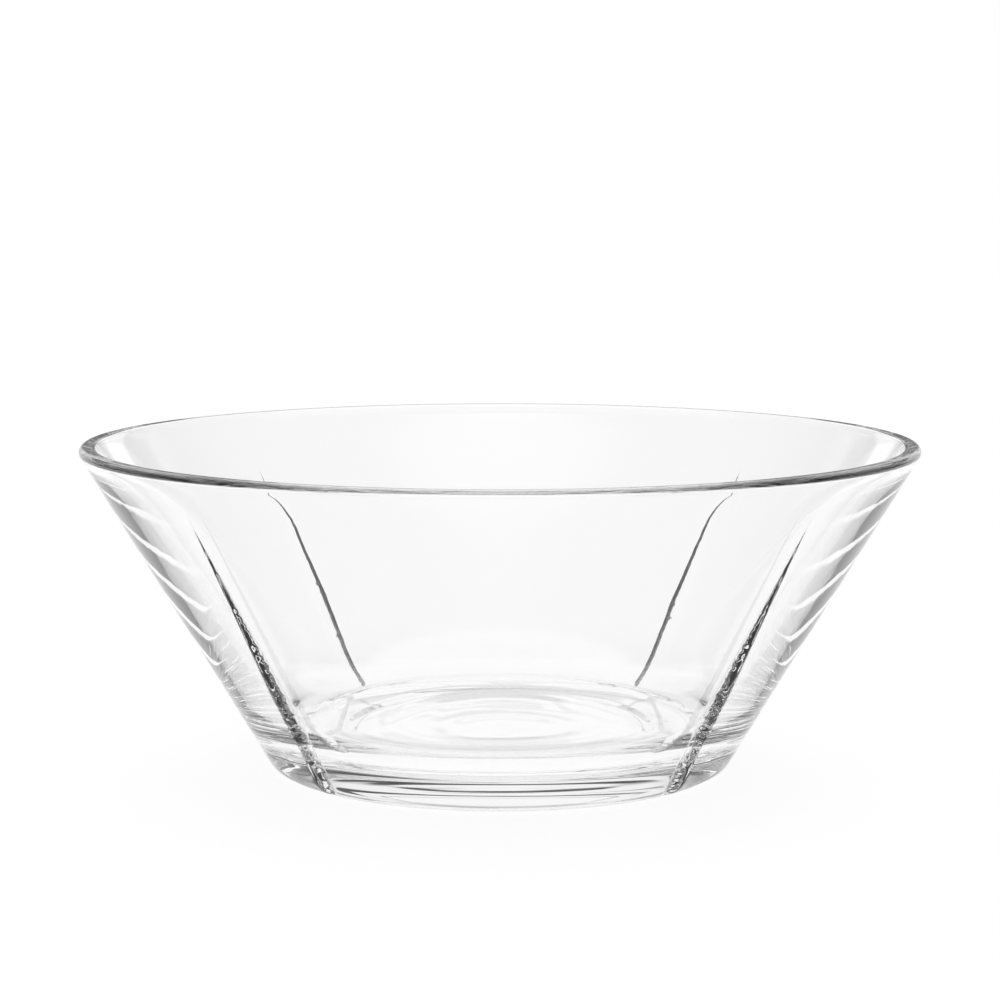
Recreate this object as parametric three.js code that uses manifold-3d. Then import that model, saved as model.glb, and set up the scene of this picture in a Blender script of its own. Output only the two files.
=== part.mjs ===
// A clear pressed-glass salad bowl: one piece of glass with a thick base, a straight flaring
// wall, a softly rounded rim and four tapering grooves pressed into the outside of the wall.
// Millimetres, +Z up. The origin is the middle of the footprint, on the table.
import * as THREE from "three";
import { mergeVertices } from "three/addons/utils/BufferGeometryUtils.js";
import Module from "manifold-3d";

// Driving dimensions

const rimDiameter = 245; // widest, across the outside of the rim
const footDiameter = 134.2; // where the straight outer wall would meet the table
const height = 96; // table to the top of the rim

const rimWall = 4.45; // glass thickness at the rim, square to the wall
const footWall = 8.3; // glass thickness at the level of the inside floor, square to the wall
const floorThickness = 12.5; // table to the inside floor

const rimOuterRound = 1.5; // fire-polished edges of the rim
const rimInnerRound = 1;
const footRound = 6; // outside corner between the wall and the underside
const floorFillet = 23; // inside corner between the wall and the floor

const bearingWidth = 17; // flat ring under the foot that the bowl stands on
const recessDepth = 1.2; // shallow hollow under the base, inside that ring
const recessShoulder = 4; // slope that leads from the ring up into the hollow
const recessRound = 3; // softened edges of that slope

const grooveCount = 4;
const firstGrooveAngle = 45; // degrees round from +X
const grooveWidth = 6.4; // round-bottomed section, at full size
const grooveDepth = 1.5;
const grooveTop = 11; // rim down to the point of the groove
const grooveFullHeight = 32; // table up to where the groove has opened to full size

const segmentsAround = 100;
const grooveSegments = 48;
const arcStep = THREE.MathUtils.degToRad(15); // longest turn that one facet of a round may take

// Places that follow from them. The outer wall is the line from the foot's sharp corner that
// just touches the rim's outer round, so the rim is exactly as wide as its diameter says.

const footRadius = footDiameter / 2;
const roundCentreOut = rimDiameter / 2 - rimOuterRound - footRadius;
const roundCentreUp = height - rimOuterRound;
const lean =
  Math.atan2(roundCentreOut, roundCentreUp) +
  Math.asin(rimOuterRound / Math.hypot(roundCentreOut, roundCentreUp));

// Radius of the outer wall at a height, and of a line that lies a thickness inside it.
const outerWall = (z) => footRadius + z * Math.tan(lean);
const insideOf = (z, thickness) => outerWall(z) - thickness / Math.cos(lean);

const footEdge = footRadius - footRound * Math.tan((Math.PI / 2 - lean) / 2);
const recessRadius = footEdge - bearingWidth;

// Points along straight lines whose corners are rounded by tangent arcs. A corner is
// [radius from the axis, height, rounding].
function roundedProfile(corners) {
  const at = corners.map(([r, z]) => new THREE.Vector2(r, z));
  return corners.flatMap(([, , round], i) => {
    if (!round) return [at[i]];
    const back = at[i - 1].clone().sub(at[i]).normalize();
    const on = at[i + 1].clone().sub(at[i]).normalize();
    const half = Math.acos(back.dot(on)) / 2;
    const centre = back.clone().add(on).setLength(round / Math.sin(half)).add(at[i]);
    const start = back.multiplyScalar(round / Math.tan(half)).add(at[i]).sub(centre);
    const end = on.multiplyScalar(round / Math.tan(half)).add(at[i]).sub(centre);
    const turn = Math.atan2(start.cross(end), start.dot(end));
    const steps = Math.ceil(Math.abs(turn) / arcStep);
    const origin = new THREE.Vector2();
    return Array.from({ length: steps + 1 }, (_, k) =>
      start.clone().rotateAround(origin, (turn * k) / steps).add(centre),
    );
  });
}

// Section of the glass from the middle of the underside, out and up the wall, over the rim and
// back to the middle of the inside floor.
const bowlProfile = roundedProfile([
  [0, recessDepth],
  [recessRadius - recessShoulder, recessDepth, recessRound],
  [recessRadius, 0, recessRound],
  [footRadius, 0, footRound],
  [outerWall(height), height, rimOuterRound],
  [insideOf(height, rimWall), height, rimInnerRound],
  [insideOf(floorThickness, footWall), floorThickness, floorFillet],
  [0, floorThickness],
]);

// A pencil to take away for each groove: it lies along the wall with its point towards the rim,
// and its blunt end reaches out below the foot. Its thick part stands out from the wall, so that
// only the groove's depth of it is in the glass.
const grooveRadius = ((grooveWidth / 2) ** 2 + grooveDepth ** 2) / (2 * grooveDepth);
const grooveStandOut = grooveRadius - grooveDepth;
const grooveRunOut = 4 * grooveRadius;
const grooveFull = grooveFullHeight / Math.cos(lean);
const groovePoint = (height - grooveTop) / Math.cos(lean);
const groovePencil = [
  new THREE.Vector2(0, -grooveRunOut),
  new THREE.Vector2(grooveRadius, -grooveRunOut),
  new THREE.Vector2(grooveRadius, grooveFull),
  new THREE.Vector2(0, groovePoint),
];
const grooveOpening = (along) => Math.min(1, (groovePoint - along) / (groovePoint - grooveFull));

const wasm = await Module();
wasm.setup();

// A closed surface of revolution as a solid. Its axis is turned from three.js's Y to Z, and then
// every point is moved by the function given.
function turnedSolid(profile, segments, move = (point) => point) {
  const lathe = new THREE.LatheGeometry(profile, segments).rotateX(Math.PI / 2);
  lathe.deleteAttribute("normal").deleteAttribute("uv");
  const merged = mergeVertices(lathe, 1e-4);
  const spots = merged.attributes.position;
  for (let i = 0; i < spots.count; i++) {
    const point = move(new THREE.Vector3().fromBufferAttribute(spots, i));
    spots.setXYZ(i, point.x, point.y, point.z);
  }
  return new wasm.Manifold(
    new wasm.Mesh({
      numProp: 3,
      vertProperties: merged.attributes.position.array,
      triVerts: new Uint32Array(merged.index.array),
    }),
  );
}

function geometryOf(solid) {
  const { vertProperties, triVerts } = solid.getMesh();
  const geometry = new THREE.BufferGeometry();
  geometry.setAttribute("position", new THREE.BufferAttribute(vertProperties, 3));
  geometry.setIndex(new THREE.BufferAttribute(triVerts, 1));
  geometry.computeVertexNormals();
  return geometry;
}

// The bowl, turned in one piece, with its grooves taken out of the outer wall.
let glass = turnedSolid(bowlProfile, segmentsAround);
for (let k = 0; k < grooveCount; k++) {
  const angle = THREE.MathUtils.degToRad(firstGrooveAngle + (k * 360) / grooveCount);
  const place = new THREE.Matrix4()
    .makeRotationZ(angle)
    .multiply(new THREE.Matrix4().makeTranslation(footRadius, 0, 0))
    .multiply(new THREE.Matrix4().makeRotationY(lean));
  const move = (point) => {
    point.x += grooveStandOut * grooveOpening(point.z);
    return point.applyMatrix4(place);
  };
  glass = glass.subtract(turnedSolid(groovePencil, grooveSegments, move));
}

const clearGlass = new THREE.MeshStandardMaterial({
  color: 0xf4f6f6,
  roughness: 0.03,
  metalness: 0,
  transparent: true,
  opacity: 0.35,
});

const bowl = new THREE.Mesh(geometryOf(glass), clearGlass);
bowl.name = "bowl";

const saladBowl = new THREE.Group();
saladBowl.add(bowl);

export default saladBowl;
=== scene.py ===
import math

import bpy
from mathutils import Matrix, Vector

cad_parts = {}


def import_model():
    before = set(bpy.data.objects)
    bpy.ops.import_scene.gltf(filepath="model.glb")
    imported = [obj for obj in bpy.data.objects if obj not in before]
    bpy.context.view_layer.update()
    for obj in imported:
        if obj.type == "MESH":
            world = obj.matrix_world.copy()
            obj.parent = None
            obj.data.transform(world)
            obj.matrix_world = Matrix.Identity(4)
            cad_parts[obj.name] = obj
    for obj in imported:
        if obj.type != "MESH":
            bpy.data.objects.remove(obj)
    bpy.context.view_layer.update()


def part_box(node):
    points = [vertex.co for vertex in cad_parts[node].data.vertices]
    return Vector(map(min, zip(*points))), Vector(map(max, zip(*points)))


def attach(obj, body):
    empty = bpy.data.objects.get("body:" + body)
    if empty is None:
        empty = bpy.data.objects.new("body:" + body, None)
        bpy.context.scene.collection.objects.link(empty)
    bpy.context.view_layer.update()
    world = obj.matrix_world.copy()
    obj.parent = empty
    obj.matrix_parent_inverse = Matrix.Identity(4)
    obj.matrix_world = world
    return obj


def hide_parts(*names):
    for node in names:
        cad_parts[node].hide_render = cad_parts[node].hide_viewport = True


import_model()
scene = bpy.context.scene


# The bowl: one gob of clear soda-lime glass, pressed between a mould and a plunger and then
# fire-polished. A thick base flares into a straight wall, and four grooves in the outside of the
# wall start as points below the rim and open towards the foot.

rim_radius, _, bowl_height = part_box("bowl")[1]
foot_radius = 0.0671  # where the straight outer wall would meet the table
rim_wall = 0.00445  # glass square to the wall, at the rim
foot_wall = 0.0083  # the same at the level of the inside floor
floor_thickness = 0.0125
rim_outer_round = 0.0015
rim_inner_round = 0.0010
foot_round = 0.0060
floor_fillet = 0.023
bearing_width = 0.017  # flat ring that the bowl stands on
recess_depth = 0.0012  # shallow hollow inside that ring
recess_shoulder = 0.004
recess_round = 0.003
groove_top = bowl_height - 0.011

# The flame that polished the rim left its inner side a little swollen. Each step of the swelling
# is its drop below the rim, its extra glass and its rounding.
swelling_step = 0.002  # longest step between points there
rim_swelling = [
    (0.0, 0.00040, rim_inner_round),
    (0.0015, 0.00018, 0.012),
    (0.004, 0.00006, 0.06),
    (0.0075, 0.0, 0.15),
]

# The outer wall leaves the foot's sharp corner and just touches the rim's outer round.
round_out = rim_radius - rim_outer_round - foot_radius
round_up = bowl_height - rim_outer_round
lean = math.atan2(round_out, round_up) + math.asin(rim_outer_round / math.hypot(round_out, round_up))


def wall_radius(z, thickness=0.0):
    return foot_radius + z * math.tan(lean) - thickness / math.cos(lean)


def swollen_corner(drop, swelling, rounding):
    z = bowl_height - drop
    thickness = rim_wall + (foot_wall - rim_wall) * drop / (bowl_height - floor_thickness) + swelling
    return wall_radius(z, thickness), z, rounding, swelling_step


def rounded_section(corners, arc_step):
    """Points along straight runs joined by tangent arcs. A corner is its radius, its height, its
    rounding and the longest step on the way to it."""
    spots = [Vector(corner[:2]) for corner in corners]
    stretches = []
    for i, (spot, (_, _, rounding, _)) in enumerate(zip(spots, corners)):
        if not rounding:
            stretches.append([spot])
            continue
        back = (spots[i - 1] - spot).normalized()
        on = (spots[i + 1] - spot).normalized()
        half = back.angle(on) / 2
        centre = spot + (back + on).normalized() * rounding / math.sin(half)
        start = spot + back * rounding / math.tan(half) - centre
        turn = (math.pi - 2 * half) * (1 if back.cross(on) < 0 else -1)
        steps = math.ceil(abs(turn) / arc_step)
        arc = []
        for k in range(steps + 1):
            c, s = math.cos(turn * k / steps), math.sin(turn * k / steps)
            arc.append(centre + Vector((start.x * c - start.y * s, start.x * s + start.y * c)))
        stretches.append(arc)
    points = list(stretches[0])
    for stretch, (_, _, _, longest_step) in zip(stretches[1:], corners[1:]):
        first = points[-1]
        run = stretch[0] - first
        count = max(1, math.ceil(run.length / longest_step))
        points += [first + run * k / count for k in range(1, count)]
        points += stretch
    return points


# Section of the glass from the middle of the underside, out and up the wall, over the rim and
# back to the middle of the inside floor.
recess_radius = foot_radius - foot_round * math.tan((math.pi / 2 - lean) / 2) - bearing_width
section = rounded_section([
    (0.0, recess_depth, 0.0, 0.003),
    (recess_radius - recess_shoulder, recess_depth, recess_round, 0.003),
    (recess_radius, 0.0, recess_round, 0.001),
    (foot_radius, 0.0, foot_round, 0.003),
    (wall_radius(bowl_height), bowl_height, rim_outer_round, 0.0008),
    *[swollen_corner(*step) for step in rim_swelling],
    (wall_radius(floor_thickness, foot_wall), floor_thickness, floor_fillet, 0.003),
    (0.0, floor_thickness, 0.0, 0.0015),
], arc_step=math.radians(6))
section_mesh = bpy.data.meshes.new("bowl_section")
section_edges = [(i, i + 1) for i in range(len(section) - 1)]
section_mesh.from_pydata([(p.x, 0.0, p.y) for p in section], section_edges, [])
bowl_former = bpy.data.objects.new("bowl_former", section_mesh)
scene.collection.objects.link(bowl_former)


def put(target, value):
    """Links a socket to the target, or sets the target to a plain value."""
    if isinstance(value, bpy.types.NodeSocket):
        target.id_data.links.new(value, target)
    else:
        target.default_value = value


def add(tree, kind, inputs=None, **settings):
    """Adds a node with its settings and inputs, and returns its outputs."""
    made = tree.nodes.new(kind)
    for name, value in settings.items():
        setattr(made, name, value)
    for name, value in (inputs or {}).items():
        put(made.inputs[name], value)
    return made.outputs


def calc(operation, *operands):
    """Adds a Math node to the tree that its operands belong to."""
    tree = next(value for value in operands if isinstance(value, bpy.types.NodeSocket)).id_data
    return add(tree, "ShaderNodeMath", dict(enumerate(operands)), operation=operation)[0]


def held(value, lowest, highest):
    return calc("MINIMUM", calc("MAXIMUM", value, lowest), highest)


def swing(noise, size):
    """Turns a noise of 0 to 1 into a length that swings to both sides of nothing."""
    return calc("MULTIPLY", calc("SUBTRACT", noise, 0.5), size)


# Clear glass with the faint unevenness of a pressed surface and dull traces of wiping.
clear_glass = bpy.data.materials.new("clear_glass")
clear_glass.use_nodes = True
glass_tree = clear_glass.node_tree
glass = glass_tree.nodes["Principled BSDF"].inputs
glass["Base Color"].default_value = (1, 1, 1, 1)
glass["IOR"].default_value = 1.52
glass["Transmission Weight"].default_value = 1.0
where = add(glass_tree, "ShaderNodeTexCoord")["Object"]
wiping = add(glass_tree, "ShaderNodeTexNoise", {"Vector": where, "Scale": 70.0, "Detail": 3.0})[0]
put(glass["Roughness"], add(glass_tree, "ShaderNodeMapRange", {
    "Value": wiping, "From Min": 0.55, "From Max": 0.75, "To Min": 0.0, "To Max": 0.012,
})[0])
skin = add(glass_tree, "ShaderNodeTexNoise", {"Vector": where, "Scale": 120.0, "Detail": 1.0})[0]
put(glass["Normal"], add(glass_tree, "ShaderNodeBump", {"Height": skin, "Distance": 0.000006})[0])
tint = add(glass_tree, "ShaderNodeVolumeAbsorption", {
    "Color": (0.5, 0.5, 0.5, 1), "Density": 1.0,
})[0]
put(glass_tree.nodes["Material Output"].inputs["Volume"], tint)

# The section is turned into the bowl by a node tree with these sizes.
former = bpy.data.node_groups.new("pressed_bowl", "GeometryNodeTree")
former.interface.new_socket("Section", in_out="INPUT", socket_type="NodeSocketGeometry")
former.interface.new_socket("Bowl", in_out="OUTPUT", socket_type="NodeSocketGeometry")
former_sizes = {}
for name, kind, value in [
    ("Points in Section", "Int", len(section)),
    ("Steps Around", "Int", 320),
    ("Bowl Height", "Float", bowl_height),
    ("Foot Radius", "Float", foot_radius),
    ("Wall Lean", "Float", lean),
    ("Grooves", "Int", 4),
    ("First Groove", "Float", math.radians(45)),
    ("Groove Half Width", "Float", 0.0032),
    ("Groove Depth", "Float", 0.0015),
    ("Groove Top", "Float", groove_top),
    ("Groove Full Height", "Float", 0.032),
    ("Groove Lip", "Float", 0.0003),
    ("Groove Easing", "Float", 1.2),
    ("Groove Ripple", "Float", 0.0011),
    ("Ripples per Metre", "Float", 520.0),
    ("Ripple Shift per Groove", "Float", 61.7),
    ("Floor Level", "Float", floor_thickness),
    ("Floor Radius", "Float", 0.054),
    ("Floor Rings", "Float", 0.0008),
    ("Rings per Metre", "Float", 70.0),
    ("Ring Drift", "Float", 0.3),
    ("Ring Rise per Metre", "Float", 30.0),
    ("Ring Fall per Metre", "Float", 100.0),
    ("Waviness", "Float", 0.00002),
    ("Waves per Metre", "Float", 45.0),
    ("Wave Rise per Metre", "Float", 200.0),
    ("Weld Distance", "Float", 0.000001),
    ("Glass", "Material", clear_glass),
]:
    socket = former.interface.new_socket(name, in_out="INPUT", socket_type="NodeSocket" + kind)
    former_sizes[socket.identifier] = value
given = add(former, "NodeGroupInput")

# A sheet of points, one column for each step around and one row for each point of the section.
columns = calc("ADD", given["Steps Around"], 1)
rows = given["Points in Section"]
sheet = add(former, "GeometryNodeMeshGrid", {"Vertices X": columns, "Vertices Y": rows})["Mesh"]
number = add(former, "GeometryNodeInputIndex")["Index"]
spot = add(former, "GeometryNodeSampleIndex", {
    "Geometry": given["Section"],
    "Value": add(former, "GeometryNodeInputPosition")["Position"],
    "Index": calc("MODULO", number, rows),
}, data_type="FLOAT_VECTOR")["Value"]
spot = add(former, "ShaderNodeSeparateXYZ", {"Vector": spot})

# Each groove has a sector of its own. Columns crowd together at its middle, where the groove is.
crowding = 0.16  # spacing at the middle, as a share of an even one
column = calc("FLOOR", calc("DIVIDE", number, rows))
around = calc("MULTIPLY", calc("DIVIDE", column, given["Steps Around"]), given["Grooves"])
groove_number = calc("FLOOR", around)
share = calc("SUBTRACT", calc("FRACT", around), 0.5)
cubed = calc("MULTIPLY", calc("POWER", calc("ABSOLUTE", share), 3), calc("SIGN", share))
eased = calc("ADD", calc("MULTIPLY", share, crowding), calc("MULTIPLY", cubed, 4 * (1 - crowding)))
sector = calc("DIVIDE", math.tau, given["Grooves"])
off_groove = calc("MULTIPLY", eased, sector)
groove_middle = calc("ADD", calc("MULTIPLY", groove_number, sector), given["First Groove"])
angle = calc("ADD", groove_middle, off_groove)

# The groove's form opens from its point to full size, with the ripples that its tool left.
span = calc("SUBTRACT", given["Groove Top"], given["Groove Full Height"])
opened = calc("DIVIDE", calc("SUBTRACT", given["Groove Top"], spot["Z"]), span)
opened = calc("POWER", held(opened, 0.001, 1.0), given["Groove Easing"])
along = calc("MULTIPLY", spot["Z"], given["Ripples per Metre"])
along = calc("ADD", along, calc("MULTIPLY", groove_number, given["Ripple Shift per Groove"]))
ripple = add(former, "ShaderNodeTexNoise", {
    "W": along, "Scale": 1.0, "Detail": 1.0,
}, noise_dimensions="1D")[0]
ripple = swing(ripple, calc("MULTIPLY", given["Groove Ripple"], opened))
half_width = calc("MULTIPLY", given["Groove Half Width"], opened)
across = calc("DIVIDE", calc("MULTIPLY", spot["X"], off_groove), half_width)
depth = calc("ADD", calc("MULTIPLY", given["Groove Depth"], opened), ripple)
form = calc("MULTIPLY", calc("SUBTRACT", 1.0, calc("MULTIPLY", across, across)), depth)

# Glass that the form reaches is pressed in, square to the wall, with a rounded lip.
flare = calc("MULTIPLY", spot["Z"], calc("TANGENT", given["Wall Lean"]))
outer_wall = calc("ADD", given["Foot Radius"], flare)
inside = calc("MULTIPLY", calc("SUBTRACT", outer_wall, spot["X"]), calc("COSINE", given["Wall Lean"]))
reach = calc("SUBTRACT", form, inside)
lip = calc("MULTIPLY", given["Groove Lip"], opened)
rounded = calc("SQRT", calc("ADD", calc("MULTIPLY", reach, reach), calc("MULTIPLY", lip, lip)))
pressed = calc("MULTIPLY", calc("ADD", reach, rounded), 0.5)
out = calc("SUBTRACT", spot["X"], calc("MULTIPLY", pressed, calc("COSINE", given["Wall Lean"])))
out = calc("MAXIMUM", out, 0.0)
up = calc("ADD", spot["Z"], calc("MULTIPLY", pressed, calc("SINE", given["Wall Lean"])))

# The plunger leaves faint rings on the inside floor, which fade out at its middle and at the
# corner with the wall.
ring_place = add(former, "ShaderNodeCombineXYZ", {
    "X": calc("MULTIPLY", out, given["Rings per Metre"]),
    "Y": calc("MULTIPLY", calc("COSINE", angle), given["Ring Drift"]),
    "Z": calc("MULTIPLY", calc("SINE", angle), given["Ring Drift"]),
})["Vector"]
rings = add(former, "ShaderNodeTexNoise", {"Vector": ring_place, "Scale": 1.0, "Detail": 1.0})[0]
to_corner = calc("SUBTRACT", given["Floor Radius"], out)
on_floor = held(calc("MULTIPLY", to_corner, given["Ring Fall per Metre"]), 0.0, 1.0)
from_middle = calc("MINIMUM", calc("MULTIPLY", out, given["Ring Rise per Metre"]), 1.0)
on_floor = calc("MULTIPLY", on_floor, from_middle)
on_top = calc("GREATER_THAN", up, calc("MULTIPLY", given["Floor Level"], 0.5))
on_floor = calc("MULTIPLY", on_floor, on_top)
rings = swing(rings, calc("MULTIPLY", given["Floor Rings"], on_floor))
place = add(former, "ShaderNodeCombineXYZ", {
    "X": calc("MULTIPLY", out, calc("COSINE", angle)),
    "Y": calc("MULTIPLY", out, calc("SINE", angle)),
    "Z": calc("ADD", up, rings),
})["Vector"]
turned = add(former, "GeometryNodeSetPosition", {"Geometry": sheet, "Position": place})["Geometry"]
turned = add(former, "GeometryNodeMergeByDistance", {
    "Geometry": turned, "Distance": given["Weld Distance"],
})["Geometry"]

# The mould leaves the glass a little wavy, but not at the foot and the rim.
height = add(former, "GeometryNodeInputPosition")["Position"]
height = add(former, "ShaderNodeSeparateXYZ", {"Vector": height})["Z"]
from_edge = calc("MINIMUM", height, calc("SUBTRACT", given["Bowl Height"], height))
fade = held(calc("MULTIPLY", from_edge, given["Wave Rise per Metre"]), 0.0, 1.0)
waves = add(former, "ShaderNodeTexNoise", {"Scale": given["Waves per Metre"], "Detail": 1.0})[0]
waves = swing(waves, calc("MULTIPLY", given["Waviness"], fade))
normal = add(former, "GeometryNodeInputNormal")["Normal"]
offset = add(former, "ShaderNodeVectorMath", {0: normal, "Scale": waves}, operation="SCALE")[0]
shape = add(former, "GeometryNodeSetPosition", {"Geometry": turned, "Offset": offset})["Geometry"]
shape = add(former, "GeometryNodeSetShadeSmooth", {"Geometry": shape})["Geometry"]
shape = add(former, "GeometryNodeRealizeInstances", {"Geometry": shape})["Geometry"]
shape = add(former, "GeometryNodeSetMaterial", {
    "Geometry": shape, "Material": given["Glass"],
})["Geometry"]
put(former.nodes.new("NodeGroupOutput").inputs["Bowl"], shape)

pressing = bowl_former.modifiers.new("pressing", "NODES")
pressing.node_group = former
for identifier, value in former_sizes.items():
    pressing[identifier] = value
pressed_bowl = bowl_former.evaluated_get(bpy.context.evaluated_depsgraph_get())
glass_bowl = bpy.data.objects.new("glass_bowl", bpy.data.meshes.new_from_object(pressed_bowl))
bpy.data.objects.remove(bowl_former)
scene.collection.objects.link(glass_bowl)
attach(glass_bowl, "root")
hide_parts("bowl")


# The table: a long sheet of matt white board. A glow that only the camera and the glass see is
# mixed into it and keeps it white, and the matt share of the mix takes the bowl's shadow.

table_half_width = 4.0
table_front = 4.0
table_back = 6.0
table_glow = 1.28
table_glow_share = 0.7
table_mesh = bpy.data.meshes.new("table")
table_mesh.from_pydata([
    (-table_half_width, -table_front, 0.0),
    (table_half_width, -table_front, 0.0),
    (table_half_width, table_back, 0.0),
    (-table_half_width, table_back, 0.0),
], [], [(0, 1, 2, 3)])
table = bpy.data.objects.new("table", table_mesh)
scene.collection.objects.link(table)
white_board = bpy.data.materials.new("white_board")
white_board.use_nodes = True
board = white_board.node_tree
board.nodes.clear()
ray = add(board, "ShaderNodeLightPath")
by_glass = calc("MAXIMUM", ray["Is Glossy Ray"], ray["Is Transmission Ray"])
seen = calc("MAXIMUM", ray["Is Camera Ray"], by_glass)
matt = add(board, "ShaderNodeBsdfDiffuse", {"Color": (0.9, 0.9, 0.9, 1)})[0]
glow = add(board, "ShaderNodeEmission", {"Strength": table_glow})[0]
glow_share = calc("MULTIPLY", seen, table_glow_share)
mixed = add(board, "ShaderNodeMixShader", {0: glow_share, 1: matt, 2: glow})[0]
put(board.nodes.new("ShaderNodeOutputMaterial").inputs["Surface"], mixed)
table_mesh.materials.append(white_board)


# The studio: a wide white panel behind the bowl with a dark gap across it, a soft box overhead
# and a low light behind the camera, in a dark room. Clear glass shows by the dark that it bends
# into view. An edge is its angle in degrees, aside from straight back or up from level, and how
# far it softens to either side.

panel_side = (40, 14)
gap_bottom = (14, 1)
gap_top = (21.3, 1)
gap_level = 0.05
dim_part_side = (14, 5)
dim_part_top = (7.5, 1.5)
dim_part_level = 0.3
overhead_edge = (56, 4)
low_light_side = (110, 5)
low_light_top = (12, 2)
room_level = 0.02
light_bounces = 24
studio = bpy.data.worlds.new("studio")
scene.world = studio
studio.use_nodes = True
sky = studio.node_tree
look = add(sky, "ShaderNodeTexCoord")["Generated"]
look = add(sky, "ShaderNodeSeparateXYZ", {"Vector": look})
aside = calc("DEGREES", calc("ABSOLUTE", calc("ARCTAN2", look["X"], look["Y"])))
rise = calc("DEGREES", calc("ARCSINE", look["Z"]))


def past(angle_seen, edge):
    """0 before the edge and 1 past it."""
    middle, softness = edge
    return add(sky, "ShaderNodeMapRange", {
        "Value": angle_seen, "From Min": middle - softness, "From Max": middle + softness,
    }, interpolation_type="SMOOTHSTEP")[0]


def before(angle_seen, edge):
    return calc("SUBTRACT", 1.0, past(angle_seen, edge))


gap = calc("MULTIPLY", past(rise, gap_bottom), before(rise, gap_top))
dim_part = calc("MULTIPLY", before(rise, dim_part_top), before(aside, dim_part_side))
gap_loss = calc("MULTIPLY", gap, 1 - gap_level)
dim_loss = calc("MULTIPLY", dim_part, 1 - dim_part_level)
panel_level = calc("SUBTRACT", 1.0, calc("MAXIMUM", gap_loss, dim_loss))
panel = calc("MULTIPLY", before(aside, panel_side), panel_level)
overhead = past(rise, overhead_edge)
low_light = calc("MULTIPLY", past(aside, low_light_side), before(rise, low_light_top))
level = calc("MAXIMUM", calc("MAXIMUM", panel, overhead), calc("MAXIMUM", low_light, room_level))
level = calc("MAXIMUM", level, add(sky, "ShaderNodeLightPath")["Is Camera Ray"])
background = sky.nodes["Background"].inputs
background["Color"].default_value = (1, 1, 1, 1)
put(background["Strength"], level)
scene.cycles.max_bounces = light_bounces
scene.cycles.transmission_bounces = light_bounces
scene.cycles.glossy_bounces = light_bounces


# The camera: a long lens on a stand in front of the bowl, a little above the rim and tilted
# slightly down.

camera_distance = 0.8
camera_height = 0.17913
camera_tilt = 0.1253  # radians down from level
camera_data = bpy.data.cameras.new("camera")
camera_data.lens = 98.526
camera = bpy.data.objects.new("camera", camera_data)
camera.location = (0.0, -camera_distance, camera_height)
camera.rotation_euler = (math.pi / 2 - camera_tilt, 0.0, 0.0)
scene.collection.objects.link(camera)
scene.camera = camera
scene.view_settings.view_transform = "Standard"
